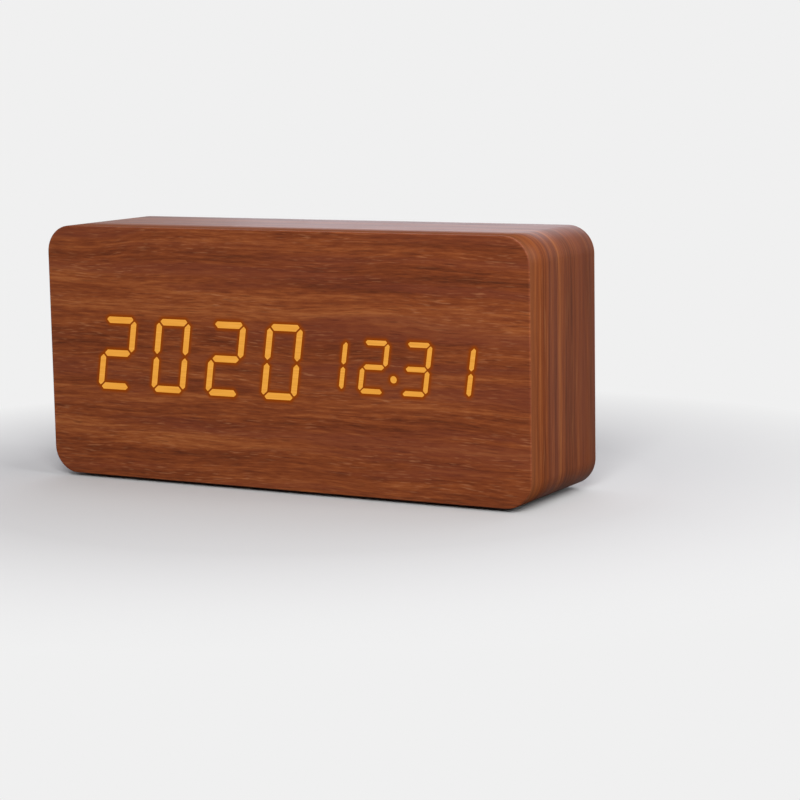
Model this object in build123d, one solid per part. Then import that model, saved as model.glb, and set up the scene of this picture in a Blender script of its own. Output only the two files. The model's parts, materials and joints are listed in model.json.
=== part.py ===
from build123d import *

import os

# A wooden LED desk clock: a foil-wrapped fibreboard case whose digits shine through the front veneer.
# Millimetres. X runs to the right as the face is read, the face looks along -Y, +Z is up.
# The origin is the centre of the footprint, on the surface that the clock stands on.
# Outlines are drawn as seen from the front, round the centre of the face.

# Case
case_width = 150.0
case_height = 70.0
case_depth = 40.0
case_corner_radius = 7.5
foil_thickness = 0.4
foil_edge_radius = 0.3
side_wall = 6.0
front_wall = 3.0
cavity_corner_radius = 14.0
fit_gap = 0.15
cut_overrun = 1.0

# Rear board, set in a rebate of the case
rear_board_thickness = 5.0
rebate_inset = 3.0
rear_screw_inset = 7.8

# Anti-slip pads
pad_diameter = 8.0
pad_height = 1.0
pad_edge_radius = 0.3
pad_inset_x = 14.0
pad_inset_y = 9.0

# Screws: countersunk ones for the case and the insert, pan heads for the boards
case_screw_shank = 2.2
case_screw_head = 4.4
case_screw_head_depth = 1.3
rear_screw_length = 13.0
insert_screw_length = 4.6
board_screw_shank = 1.6
board_screw_head = 3.6
board_screw_head_height = 1.2
led_screw_length = 8.0
control_screw_length = 5.0
screw_hole_gap = 0.15
cross_length = 2.3
cross_width = 0.5
cross_depth = 0.7

# Display: a year in large digits, then month and day in small ones
row_count = 4
digit_slant_share = 0.142
digit_drop = 0.2
segment_gap_share = 0.2
segment_tip_share = 0.1
segment_rounding_share = 0.15
year_digit_height = 20.4
year_digit_width = 11.1
year_segment_thickness = 1.8
year_pitch = 17.9
year_centre = -25.4
date_digit_height = 14.2
date_digit_width = 8.1
date_segment_thickness = 1.35
date_pitch = 12.6
date_centre = 35.95
point_diameter = 1.9
point_drop = 3.2
colon_spread = 4.0

# Light box behind the face
nose_margin = 2.6
cavity_inset = 0.1
reflector_flange_thickness = 4.0
reflector_flange_x = 4.0
reflector_flange_z = 10.0
diffuser_thickness = 0.3
light_pipe_length = 5.3
board_thickness = 1.6
led_length = 1.0
led_width = 0.5
led_height = 0.6
led_screw_inset = 3.5

# Parts on the rear side of the LED board
chip_size = 10.0
chip_height = 1.4
chip_x = 4.0
driver_length = 18.0
driver_width = 7.5
driver_height = 2.3
driver_x = 34.0
driver_spread = 22.0
crystal_length = 11.0
crystal_width = 4.5
crystal_height = 3.5
crystal_x = -12.0
capacitor_diameter = 6.3
capacitor_height = 7.0
capacitor_x = -23.0
buzzer_diameter = 12.0
buzzer_height = 8.5
buzzer_x = -54.0
buzzer_hole = 2.0
buzzer_hole_depth = 1.5

# Ribbon cable between the headers of the two boards
header_length = 12.0
header_width = 5.0
header_height = 5.0
led_header_x = -34.0
control_header_x = -40.0
ribbon_width = 10.0
ribbon_thickness = 0.9
ribbon_straight_share = 0.29

# Battery bay: four AAA cells side by side, reversed in turn
cell_count = 4
cell_diameter = 10.5
cell_length = 44.5
cell_nub_diameter = 3.8
cell_nub_length = 1.0
cell_edge_radius = 0.5
cell_gap = 0.4
cell_side_gap = 0.35
bay_centre = 24.5
bay_wall = 2.4
bay_floor = 1.6
contact_thickness = 0.4
contact_width = 8.0
spring_length = 4.6
spring_base_diameter = 7.2
spring_tip_diameter = 4.6
cradle_width = 2.0
cradle_height = 2.6
cradle_gap = 0.1

# Battery leads, from the two end contacts to the control board
lead_diameter = 1.2
lead_out = 5.0
lead_drop = 5.8
lead_run = 10.1
lead_bend_shares = (0.45, 0.45, 0.6)

# Rear insert: one black moulding with the battery bay and the control panel
insert_width = 118.0
insert_height = 54.0
insert_thickness = 2.0
insert_corner_radius = 3.0
insert_screw_inset_x = 3.0
insert_screw_inset_z = 7.0

# Battery door: hooks at its foot, a tongue with a nib and ribs at its top
door_overlap = 1.2
door_thickness = 1.8
door_gap = 0.3
door_corner_radius = 1.0
hook_width = 6.0
hook_spread = 30.0
hook_reach = 1.1
hook_thickness = 1.0
hook_foot = 1.2
hook_slack = 0.4
hook_turning_room = 0.8
latch_width = 9.0
latch_length = 8.0
latch_slit = 0.6
latch_nib = 0.22
latch_nib_height = 0.8
latch_catch_depth = 0.35
grip_rib_width = 0.5
grip_rib_height = 0.3
grip_rib_share = 0.7
grip_rib_count = 3

# Control panel, sunk in the insert
panel_centre = -29.0
panel_width = 46.0
panel_height = 42.0
panel_floor = 1.6
panel_recess = 1.6
panel_rim = 2.0
panel_corner_radius = 2.0
control_pitch = 13.0
button_row = 9.0
socket_row = -9.0
vent_row = -16.0
vent_length = 8.0
vent_width = 1.0
vent_pitch = 2.0
vent_count = 3

# Buttons and the push switches under them
button_diameter = 8.0
button_proud = 1.2
button_edge_radius = 0.6
button_gap = 0.15
button_travel = 0.5
collar_width = 0.9
collar_thickness = 0.9
collar_gap = 0.1
mark_size = 1.5
mark_depth = 0.3
tact_size = 6.0
tact_height = 3.5
plunger_diameter = 3.5
plunger_proud = 0.9
plunger_depth = 0.7
plunger_gap = 0.1

# Slide switch of the sound control
switch_length = 8.6
switch_width = 4.4
switch_height = 4.0
lever_length = 2.4
lever_width = 1.8
lever_proud = 1.0
lever_travel = 2.5
lever_depth = 1.8
lever_gap = 0.3
lever_groove_share = 0.12

# Power socket, microphone and thermistor
jack_size = 7.0
jack_base_gap = 0.2
jack_nose_diameter = 6.4
jack_nose_proud = 0.3
jack_bore = 3.6
jack_floor = 0.6
jack_pin_diameter = 1.3
jack_pin_recess = 0.8
jack_contact_width = 1.4
jack_contact_thickness = 0.4
jack_contact_proud = 0.2
microphone_diameter = 6.0
microphone_height = 4.9
microphone_hole = 1.2
thermistor_diameter = 2.4
thermistor_height = 4.0
thermistor_rounding = 0.6

# Control board, on four bosses of the panel
control_board_width = 42.0
control_board_height = 38.0
boss_diameter = 4.4
boss_inset = 3.0

# Stations along Y, from the face to the back
face = -case_depth / 2
back = case_depth / 2
core_front = face + foil_thickness
core_back = back - foil_thickness
front_wall_back = core_front + front_wall
led_board_front = front_wall_back + reflector_flange_thickness
led_board_back = led_board_front + board_thickness
rear_board_front = core_back - rear_board_thickness
flange_front = core_back - insert_thickness
door_front = core_back - door_thickness
panel_back = core_back - panel_recess
panel_front = panel_back - panel_floor
collar_back = panel_front - collar_gap
stem_end = collar_back - collar_thickness - button_gap
tact_top = stem_end - plunger_proud
control_board_back = tact_top - tact_height
control_board_front = control_board_back - board_thickness
cell_axis = door_front - cell_side_gap - cell_diameter / 2
bay_floor_back = cell_axis - cell_diameter / 2 - cell_side_gap
bay_floor_front = bay_floor_back - bay_floor
toe_back = door_front - hook_slack
toe_front = toe_back - hook_thickness

# Sizes worked out from the driving ones
middle = pad_height + case_height / 2
cell_pitch = cell_diameter + cell_gap
bay_height = (cell_count - 1) * cell_pitch + cell_diameter + 2 * cell_gap
bay_length = 2 * contact_thickness + spring_length + cell_length
well_length = bay_length + 2 * bay_wall
well_height = bay_height + 2 * bay_wall
door_length = bay_length + 2 * door_overlap
door_height = bay_height + 2 * door_overlap
hinge_height = -door_height / 2
pitch_count = row_count - 1
year_reach = (pitch_count * year_pitch + year_digit_width + digit_slant_share * year_digit_height) / 2
date_reach = (pitch_count * date_pitch + date_digit_width + digit_slant_share * date_digit_height) / 2
nose_width = 2 * (max(year_reach - year_centre, date_reach + date_centre) + nose_margin)
nose_height = max(year_digit_height, date_digit_height) + 2 * nose_margin
reflector_width = nose_width + 2 * reflector_flange_x
reflector_height = nose_height + 2 * reflector_flange_z
window_left = panel_centre - panel_width / 2
window_right = bay_centre + well_length / 2
window_height = max(well_height, panel_height)
slot_length = lever_length + lever_travel + 2 * lever_gap


# Helpers


def outline(width, height, radius, x=0, z=0):
    """A rounded rectangle on the face plane, centred on (x, z)."""
    return Pos(x, z) * RectangleRounded(width, height, radius)


def block(width, height, x, z):
    """A plain rectangle on the face plane, centred on (x, z)."""
    return Pos(x, z) * Rectangle(width, height)


def disc(diameter, x, z):
    """A circle on the face plane, centred on (x, z)."""
    return Pos(x, z) * Circle(diameter / 2)


def slab(sketch, front, rear):
    """A sketch of the face plane made solid from Y = front to Y = rear."""
    plane = Plane(origin=(0, rear, middle), x_dir=(1, 0, 0), z_dir=(0, -1, 0))
    return extrude(plane * sketch, amount=rear - front)


def cut_slab(sketch, front, rear):
    """A slab that overruns both of its ends, for a hole that goes right through."""
    return slab(sketch, front - cut_overrun, rear + cut_overrun)


def corners(half_x, half_z, x=0):
    """The four places at (x +- half_x, +- half_z)."""
    return [(x + i * half_x, k * half_z) for i in (-1, 1) for k in (-1, 1)]


def round_end(solid, axis, end, radius):
    """Rounds the edges of the face that lies furthest back (-1) or nearest (0) along an axis."""
    return fillet(solid.faces().sort_by(axis)[end].edges(), radius)


def write(name, *shapes):
    """Writes one node, as one solid or as a group of separate ones."""
    solids = [solid for shape in shapes for solid in shape.solids()]
    export_step(solids[0] if len(solids) == 1 else Compound(solids), f"parts/{name}.step")


# Screws


def countersink(x, z, length):
    """The room of a countersunk screw driven in from the back: a cone flush with the board, and a shank."""
    depth = case_screw_head_depth
    head = Pos(x, core_back - depth / 2, middle + z) * Rot(-90, 0, 0)
    head = head * Cone(case_screw_shank / 2, case_screw_head / 2, depth)
    return head + slab(disc(case_screw_shank, x, z), core_back - length, core_back - depth)


def cross(x, z):
    """The outline of a cross recess."""
    return block(cross_length, cross_width, x, z) + block(cross_width, cross_length, x, z)


def countersunk_screw(x, z, length):
    """A countersunk screw with a cross recess, its head flush with the rear board."""
    return countersink(x, z, length) - slab(cross(x, z), core_back - cross_depth, core_back + cut_overrun)


def pan_screw(x, z, seat, length, way):
    """A pan screw whose head lies on Y = seat. It points to the back for way = 1, to the face for -1."""
    top = seat - way * board_screw_head_height
    tip = seat + way * length
    screw = slab(disc(board_screw_head, x, z), min(top, seat), max(top, seat))
    screw += slab(disc(board_screw_shank, x, z), min(tip, seat), max(tip, seat))
    recess = sorted((top - way * cut_overrun, top + way * cross_depth))
    return screw - slab(cross(x, z), *recess)


def screw_hole(x, z, front, rear):
    """A clearance hole for a board screw."""
    return cut_slab(disc(board_screw_shank + 2 * screw_hole_gap, x, z), front, rear)


rear_screw_places = corners(case_width / 2 - rear_screw_inset, case_height / 2 - rear_screw_inset)
insert_screw_places = corners(
    insert_width / 2 - insert_screw_inset_x, insert_height / 2 - insert_screw_inset_z
)
led_screw_places = corners(reflector_width / 2 - led_screw_inset, reflector_height / 2 - led_screw_inset)
boss_places = corners(
    control_board_width / 2 - boss_inset, control_board_height / 2 - boss_inset, panel_centre
)


# Seven-segment digits, lettered a to g clockwise from the top, with g in the middle

lit_letters = {"0": "abcdef", "1": "bc", "2": "abged", "3": "abgcd"}


def bar(half_length, thickness, left_tip, right_tip):
    """Corners of a bar along X. The bevels of each end meet at a tip that stands off its centre line."""
    end = half_length - thickness * segment_gap_share
    flat = thickness / 2
    return [
        (end + right_tip, right_tip),
        (end + 2 * right_tip - flat, flat),
        (flat - end - 2 * left_tip, flat),
        (-end - left_tip, left_tip),
        (flat - end, -flat),
        (end - flat, -flat),
    ]


def segment(letter, x, height, width, thickness):
    """One slanted segment of the digit centred on x, as a sketch on the face plane."""
    across = (width - thickness) / 2
    up = (height - thickness) / 2
    tip = thickness * segment_tip_share
    left_tip = tip if letter in "adce" else 0
    right_tip = tip if letter in "adbf" else 0
    points = bar(across if letter in "adg" else up / 2, thickness, left_tip, right_tip)
    turned = {
        "a": [(p, q + up) for p, q in points],
        "b": [(q + across, p + up / 2) for p, q in points],
        "c": [(q + across, p - up / 2) for p, q in points],
        "d": [(p, -q - up) for p, q in points],
        "e": [(-q - across, p - up / 2) for p, q in points],
        "f": [(-q - across, p + up / 2) for p, q in points],
        "g": points,
    }[letter]
    slanted = [(x + p + digit_slant_share * q, q - digit_drop) for p, q in turned]
    shape = make_face(Polyline(*slanted, close=True))
    return fillet(shape.vertices(), thickness * segment_rounding_share)


def digit(letters, row_centre, place, pitch, size):
    """The lettered segments of the digit at a place of its row, counted from 0."""
    x = row_centre + (place - pitch_count / 2) * pitch
    return [segment(letter, x, *size) for letter in letters]


def year_digit(letters, place):
    """A large digit of the row on the left."""
    size = (year_digit_height, year_digit_width, year_segment_thickness)
    return digit(letters, year_centre, place, year_pitch, size)


def date_digit(letters, place):
    """A small digit of the row on the right."""
    size = (date_digit_height, date_digit_width, date_segment_thickness)
    return digit(letters, date_centre, place, date_pitch, size)


def both_rows(year_letters, date_letters):
    """The segments of all eight digits, given the letters of each."""
    year = [shape for i, letters in enumerate(year_letters) for shape in year_digit(letters, i)]
    date = [shape for i, letters in enumerate(date_letters) for shape in date_digit(letters, i)]
    return year + date


year_letters = [lit_letters[figure] for figure in "2020"]
date_letters = [lit_letters[figure] for figure in "1231"]
point = disc(point_diameter, date_centre - digit_slant_share * point_drop, -point_drop)
colon = [
    disc(point_diameter, year_centre + k * digit_slant_share * colon_spread, k * colon_spread)
    for k in (-1, 1)
]
full_row = ["abcdefg"] * row_count
lit_shapes = both_rows(year_letters, date_letters) + [point]
cavities = [offset(shape, -cavity_inset) for shape in both_rows(full_row, full_row) + [point] + colon]


# Case


def case_outline(inset):
    """The outline of the case, drawn in by an inset."""
    return outline(case_width - 2 * inset, case_height - 2 * inset, case_corner_radius - inset)


def case_body():
    """The fibreboard case: front wall with the display window, rim, and a rebate for the rear board."""
    body = slab(case_outline(foil_thickness), core_front, core_back)
    cavity = outline(case_width - 2 * side_wall, case_height - 2 * side_wall, cavity_corner_radius)
    body -= slab(cavity, front_wall_back, core_back + cut_overrun)
    body -= slab(case_outline(rebate_inset), rear_board_front, core_back + cut_overrun)
    window = outline(nose_width + 2 * fit_gap, nose_height + 2 * fit_gap, foil_edge_radius + fit_gap)
    body -= cut_slab(window, core_front, front_wall_back)
    for x, z in rear_screw_places:
        body -= countersink(x, z, rear_screw_length)
    for x, z in led_screw_places:
        pilot = disc(board_screw_shank, x, z)
        body -= slab(pilot, led_board_back - led_screw_length, front_wall_back + cut_overrun)
    return body


def side_wrap():
    """The foil round the sides, turned over the rear rim of the case."""
    band = round_end(slab(case_outline(0), core_front, back), Axis.Y, -1, foil_edge_radius)
    band -= slab(case_outline(foil_thickness), core_front - cut_overrun, core_back)
    return band - slab(case_outline(rebate_inset), core_back - cut_overrun, back + cut_overrun)


def front_veneer():
    """The face, with a window for each lit segment, where the light comes through."""
    sheet = round_end(slab(case_outline(0), face, core_front), Axis.Y, 0, foil_edge_radius)
    return sheet - [cut_slab(shape, face, core_front) for shape in lit_shapes]


def inlay(shapes):
    """The translucent spots of the face that a group of lit segments shines through."""
    return [slab(shape, face, core_front) for shape in shapes]


def rear_sheet(front, rear):
    """The rear board's outline between two stations, without the pocket for the insert's flange."""
    pocket = outline(insert_width + 2 * fit_gap, insert_height + 2 * fit_gap, insert_corner_radius)
    return slab(case_outline(rebate_inset + fit_gap), front, rear) - slab(
        pocket, flange_front, back + cut_overrun
    )


def rear_board():
    """The fibreboard that closes the back and carries the insert in a stepped window."""
    board = rear_sheet(rear_board_front, core_back)
    window = outline(
        window_right - window_left + 2 * fit_gap,
        window_height + 2 * fit_gap,
        door_corner_radius,
        (window_left + window_right) / 2,
    )
    board -= cut_slab(window, rear_board_front, core_back)
    board -= [countersink(x, z, rear_screw_length) for x, z in rear_screw_places]
    return board - [countersink(x, z, insert_screw_length) for x, z in insert_screw_places]


def rear_veneer():
    """The foil on the rear board, open over its four screw heads."""
    holes = [cut_slab(disc(case_screw_head, x, z), core_back, back) for x, z in rear_screw_places]
    return rear_sheet(core_back, back) - holes


def foot_pad(x, y):
    """An anti-slip pad under the case."""
    pad = Pos(x, y, pad_height / 2) * Cylinder(pad_diameter / 2, pad_height)
    return round_end(pad, Axis.Z, 0, pad_edge_radius)


# Light box and LED board


def board_outline():
    """The outline that the reflector's flange and the LED board share."""
    return outline(reflector_width, reflector_height, led_screw_inset)


def diffuser_sheet():
    """The white film between the light box and the face."""
    sheet = outline(nose_width, nose_height, foil_edge_radius)
    return slab(sheet, core_front, core_front + diffuser_thickness)


def segment_reflector():
    """The black light box: a nose in the window, a flange behind the front wall, a cavity per segment."""
    nose_front = core_front + diffuser_thickness
    box = slab(outline(nose_width, nose_height, foil_edge_radius), nose_front, led_board_front)
    box += slab(board_outline(), front_wall_back, led_board_front)
    box -= [cut_slab(shape, nose_front, led_board_front) for shape in cavities]
    return box - [screw_hole(x, z, front_wall_back, led_board_front) for x, z in led_screw_places]


def light_pipe(shape):
    """The clear resin in the front of a segment's cavity."""
    front = core_front + diffuser_thickness
    return slab(shape, front, front + light_pipe_length)


def led(shape):
    """The LED chip behind the middle of a segment, laid along it."""
    box = shape.bounding_box()
    size = (led_length, led_width) if box.size.X > box.size.Y else (led_width, led_length)
    place = box.center()
    return slab(block(*size, place.X, place.Y), led_board_front - led_height, led_board_front)


def led_board():
    """The board that carries the LEDs in front and the clock's circuit behind."""
    board = slab(board_outline(), led_board_front, led_board_back)
    return board - [screw_hole(x, z, led_board_front, led_board_back) for x, z in led_screw_places]


def on_led_board(sketch, height):
    """A part that stands on the rear side of the LED board."""
    return slab(sketch, led_board_back, led_board_back + height)


def piezo_buzzer():
    """A round buzzer with its sound hole."""
    top = led_board_back + buzzer_height
    hole = slab(disc(buzzer_hole, buzzer_x, 0), top - buzzer_hole_depth, top + cut_overrun)
    return on_led_board(disc(buzzer_diameter, buzzer_x, 0), buzzer_height) - hole


def ribbon_cable():
    """A flat cable that jogs from the LED board's header to the control board's."""
    start = led_board_back + header_height
    end = control_board_front - header_height
    straight = (end - start) * ribbon_straight_share
    route = FilletPolyline(
        (led_header_x, start),
        (led_header_x, start + straight),
        (control_header_x, end - straight),
        (control_header_x, end),
        radius=straight,
    )
    band = Pos(0, 0, middle - ribbon_width / 2) * trace(route, ribbon_thickness)
    return extrude(band, amount=ribbon_width)


# Battery bay

bay_cells = [((i - (cell_count - 1) / 2) * cell_pitch, -1 if i % 2 else 1) for i in range(cell_count)]


def bay_end(side):
    """X of the inner face of the bay's end wall, left (-1) or right (1)."""
    return bay_centre + side * bay_length / 2


def along_x(z, diameter, left, right):
    """A round bar along X at a cell's height."""
    place = Pos((left + right) / 2, cell_axis, middle + z) * Rot(0, 90, 0)
    return place * Cylinder(diameter / 2, right - left)


def battery(z, spring_side):
    """One AAA cell, its raised end turned away from its spring."""
    centre = bay_centre - spring_side * spring_length / 2
    flat = centre + spring_side * cell_length / 2
    tip = centre - spring_side * cell_length / 2
    shoulder = tip + spring_side * cell_nub_length
    can = along_x(z, cell_diameter, min(flat, shoulder), max(flat, shoulder))
    can = fillet(can.edges().filter_by(GeomType.CIRCLE), cell_edge_radius)
    return can + along_x(z, cell_nub_diameter, min(tip, shoulder), max(tip, shoulder))


def contact_plate(side, cells):
    """A flat contact on an end wall, behind one cell or two."""
    heights = [bay_cells[i][0] for i in cells]
    x = bay_end(side) - side * contact_thickness / 2
    z = (min(heights) + max(heights)) / 2
    height = max(heights) - min(heights) + contact_width
    return Pos(x, cell_axis, middle + z) * Box(contact_thickness, contact_width, height)


def battery_contacts():
    """The contacts: pairs join the cells in series, and the single ones feed the leads."""
    last = cell_count - 1
    paired = [contact_plate(1, (i, i + 1)) for i in range(0, last, 2)]
    paired += [contact_plate(-1, (i, i + 1)) for i in range(1, last - 1, 2)]
    return paired + [contact_plate(-1, (0,)), contact_plate(-1, (last,))]


def battery_spring(z, side):
    """The outer shape of a conical spring between its contact and the flat end of a cell."""
    x = bay_end(side) - side * (contact_thickness + spring_length / 2)
    cone = Cone(spring_base_diameter / 2, spring_tip_diameter / 2, spring_length)
    return Pos(x, cell_axis, middle + z) * Rot(0, -side * 90, 0) * cone


def battery_lead(z):
    """A lead from the back of a contact, round the edge of the control board, to its front side."""
    start = bay_end(-1)
    turn = start - lead_out
    end = turn - lead_run
    low = cell_axis - lead_drop
    runs = (lead_out, lead_drop, control_board_front - low)
    route = FilletPolyline(
        (start, cell_axis, middle + z),
        (turn, cell_axis, middle + z),
        (turn, low, middle + z),
        (end, low, middle + z),
        (end, control_board_front, middle + z),
        radius=[share * run for share, run in zip(lead_bend_shares, runs)],
    )
    return sweep(Plane(origin=route @ 0, z_dir=route % 0) * Circle(lead_diameter / 2), route)


# Rear insert


def bay():
    """The battery bay's walls and floor, hollowed, with two ribs shaped to the cells."""
    room = block(bay_length, bay_height, bay_centre, 0)
    walls = slab(
        outline(well_length, well_height, door_corner_radius, bay_centre), bay_floor_front, flange_front
    ) - slab(room, bay_floor_back, core_back)
    for side in (-1, 1):
        rib = block(cradle_width, bay_height, bay_centre + side * cell_length / 4, 0)
        rib = slab(rib, bay_floor_back, bay_floor_back + cradle_height)
        hollow = cell_diameter + 2 * cradle_gap
        walls += rib - [along_x(z, hollow, bay_end(-1), bay_end(1)) for z, _ in bay_cells]
    return walls


def flange():
    """The insert's flange, with the door's recess, its catch, and the opening over the bay."""
    plate = slab(outline(insert_width, insert_height, insert_corner_radius), flange_front, core_back)
    plate -= cut_slab(block(bay_length, bay_height, bay_centre, 0), flange_front, core_back)
    plate -= slab(
        outline(door_length + 2 * door_gap, door_height + 2 * door_gap, door_corner_radius, bay_centre),
        door_front,
        core_back + cut_overrun,
    )
    edge = door_height / 2 + door_gap
    catch = block(latch_width + 2 * door_gap, 2 * latch_catch_depth, bay_centre, edge)
    return plate - slab(catch, door_front, door_front + latch_nib_height + door_gap)


def hook_notch(x):
    """Room in the bay's lower wall for a hook of the door to turn in."""
    low = -well_height / 2
    width = hook_width + 2 * hook_slack
    notch = block(width, 2 * bay_wall, x, low + bay_wall)
    return slab(notch, toe_front - hook_turning_room, door_front)


def control_panel():
    """The sunk panel, its rim, and the bosses that carry the control board."""
    sheet = outline(panel_width, panel_height, panel_corner_radius, panel_centre)
    body = slab(sheet, panel_front, panel_back)
    for x, z in boss_places:
        body += slab(disc(boss_diameter, x, z), control_board_back, panel_front)
        pilot = control_board_front + control_screw_length
        body -= slab(disc(board_screw_shank, x, z), control_board_front, pilot)
    return body


def panel_sink():
    """What is cut from the flange over the control panel."""
    width, height = panel_width - 2 * panel_rim, panel_height - 2 * panel_rim
    sink = outline(width, height, panel_corner_radius, panel_centre)
    return slab(sink, panel_back, core_back + cut_overrun)


def panel_holes():
    """The panel's holes for the buttons, the lever, the power socket, the microphone and the air."""
    shapes = [disc(button_diameter + 2 * button_gap, x, button_row) for x in button_places]
    shapes.append(block(slot_length, lever_width + 2 * lever_gap, lever_x, socket_row))
    shapes.append(disc(jack_nose_diameter + 2 * fit_gap, jack_x, socket_row))
    shapes.append(disc(microphone_hole, panel_centre, socket_row))
    for i in range(vent_count):
        z = vent_row + (i - (vent_count - 1) / 2) * vent_pitch
        shapes.append(Pos(panel_centre, z) * SlotOverall(vent_length, vent_width))
    return [cut_slab(shape, panel_front, panel_back) for shape in shapes]


def rear_insert():
    """The black moulding: flange, battery bay, and the sunk control panel with its bosses."""
    body = flange() + bay() + control_panel() - panel_sink() - panel_holes()
    body -= [hook_notch(x) for x in hook_places]
    for z in (bay_cells[0][0], bay_cells[-1][0]):
        body -= along_x(z, lead_diameter + 2 * fit_gap, bay_end(-1) - bay_wall - fit_gap, bay_end(-1))
    return body - [countersink(x, z, insert_screw_length) for x, z in insert_screw_places]


button_places = [panel_centre + control_pitch, panel_centre, panel_centre - control_pitch]
lever_x = panel_centre - control_pitch
jack_x = panel_centre + control_pitch
hook_places = [bay_centre - hook_spread / 2, bay_centre + hook_spread / 2]


# Battery door


def door_latch():
    """The nib that clicks behind the flange, and the ribs that a finger pulls on."""
    pieces = [
        slab(
            block(latch_width, 2 * latch_nib, bay_centre, door_height / 2),
            door_front,
            door_front + latch_nib_height,
        )
    ]
    for i in range(grip_rib_count):
        z = door_height / 2 - (i + 1) * latch_length / (grip_rib_count + 1)
        rib = block(latch_width * grip_rib_share, grip_rib_width, bay_centre, z)
        pieces.append(slab(rib, core_back, core_back + grip_rib_height))
    return pieces


def door_hook(x):
    """A hook at the door's foot: a block behind the door and a toe that reaches under the flange."""
    inner = hinge_height + door_overlap
    foot = slab(block(hook_width, hook_foot, x, inner + hook_foot / 2), toe_front, door_front)
    length = hook_reach + door_overlap + hook_foot
    toe = block(hook_width, length, x, hinge_height - hook_reach + length / 2)
    return foot + slab(toe, toe_front, toe_back)


def battery_door():
    """The bay's lid, with two hooks to turn on and a slit tongue that latches."""
    door = slab(outline(door_length, door_height, door_corner_radius, bay_centre), door_front, core_back)
    for side in (-1, 1):
        x = bay_centre + side * (latch_width + latch_slit) / 2
        slit = block(latch_slit, 2 * latch_length, x, door_height / 2)
        door -= cut_slab(slit, door_front, core_back)
    return door + door_latch() + [door_hook(x) for x in hook_places]


# Control board and its parts


def control_board():
    """The small board behind the control panel."""
    board = slab(
        outline(control_board_width, control_board_height, panel_corner_radius, panel_centre),
        control_board_front,
        control_board_back,
    )
    return board - [screw_hole(x, z, control_board_front, control_board_back) for x, z in boss_places]


def header(x, front, rear):
    """A cable header on one of the boards."""
    return slab(block(header_width, header_length, x, 0), front, rear)


def button_mark(kind, x):
    """The sunk mark of a button: a bar to set, a triangle to go up or down."""
    if kind == "set":
        return block(2 * mark_size, mark_size / 2, x, button_row)
    way = mark_size / 2 if kind == "up" else -mark_size / 2
    points = [
        (x - mark_size, button_row - way),
        (x + mark_size, button_row - way),
        (x, button_row + way),
    ]
    return make_face(Polyline(*points, close=True))


def button(kind, x):
    """A round button: a cap, a collar that keeps it behind the panel, and a stem on the switch."""
    top = panel_back + button_proud
    cap = slab(disc(button_diameter, x, button_row), collar_back - collar_thickness, top)
    cap = round_end(cap, Axis.Y, -1, button_edge_radius)
    collar = disc(button_diameter + 2 * collar_width, x, button_row)
    cap += slab(collar, collar_back - collar_thickness, collar_back)
    cap += slab(disc(plunger_diameter, x, button_row), stem_end, collar_back)
    return cap - slab(button_mark(kind, x), top - mark_depth, top + cut_overrun)


def push_switch(x):
    """The body of a push switch, with the well that its plunger goes down."""
    body = slab(block(tact_size, tact_size, x, button_row), control_board_back, tact_top)
    well_floor = tact_top - plunger_depth - button_travel - 2 * plunger_gap
    well = disc(plunger_diameter + 2 * plunger_gap, x, button_row)
    return body - slab(well, well_floor, tact_top + cut_overrun)


def plunger(x):
    """The plunger of a push switch, up against the button's stem."""
    return slab(disc(plunger_diameter, x, button_row), tact_top - plunger_depth, stem_end)


def sound_switch_body():
    """The housing of the slide switch, slotted for its lever."""
    top = control_board_back + switch_height
    body = slab(block(switch_length, switch_width, lever_x, socket_row), control_board_back, top)
    slot = block(slot_length, lever_width + 2 * lever_gap, lever_x, socket_row)
    return body - slab(slot, top - lever_depth - lever_gap, top + cut_overrun)


def sound_switch_lever():
    """The lever of the slide switch, at the right end of its travel, with a grooved top."""
    x = lever_x + lever_travel / 2
    top = panel_back + lever_proud
    foot = control_board_back + switch_height - lever_depth
    lever = slab(block(lever_length, lever_width, x, socket_row), foot, top)
    for side in (-1, 0, 1):
        groove = block(
            lever_length * lever_groove_share, 2 * lever_width, x + side * lever_length / 4, socket_row
        )
        lever -= slab(groove, top - mark_depth, top + cut_overrun)
    return lever


def jack_contact():
    """The spring strip in the wall of the power socket's bore that the plug's sleeve touches."""
    z = socket_row + jack_bore / 2 - jack_contact_proud + jack_contact_thickness / 2
    strip = block(jack_contact_width, jack_contact_thickness, jack_x, z)
    return slab(strip, control_board_back, panel_front - jack_base_gap)


def dc_jack_body():
    """The power socket: a square base, a round nose in the panel, and a blind bore."""
    base_top = panel_front - jack_base_gap
    nose_top = panel_back + jack_nose_proud
    body = slab(block(jack_size, jack_size, jack_x, socket_row), control_board_back, base_top)
    body += slab(disc(jack_nose_diameter, jack_x, socket_row), base_top, nose_top)
    bore = disc(jack_bore, jack_x, socket_row)
    return body - slab(bore, control_board_back + jack_floor, nose_top + cut_overrun) - jack_contact()


def dc_jack_pin():
    """The socket's centre pin."""
    tip = panel_back + jack_nose_proud - jack_pin_recess
    return slab(disc(jack_pin_diameter, jack_x, socket_row), control_board_back + jack_floor, tip)


def on_control_board(sketch, height):
    """A part that stands on the rear side of the control board."""
    return slab(sketch, control_board_back, control_board_back + height)


def thermistor():
    """The temperature sensor, standing behind the vents."""
    bead = on_control_board(disc(thermistor_diameter, panel_centre, vent_row), thermistor_height)
    return round_end(bead, Axis.Y, -1, thermistor_rounding)


os.makedirs("parts", exist_ok=True)

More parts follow.
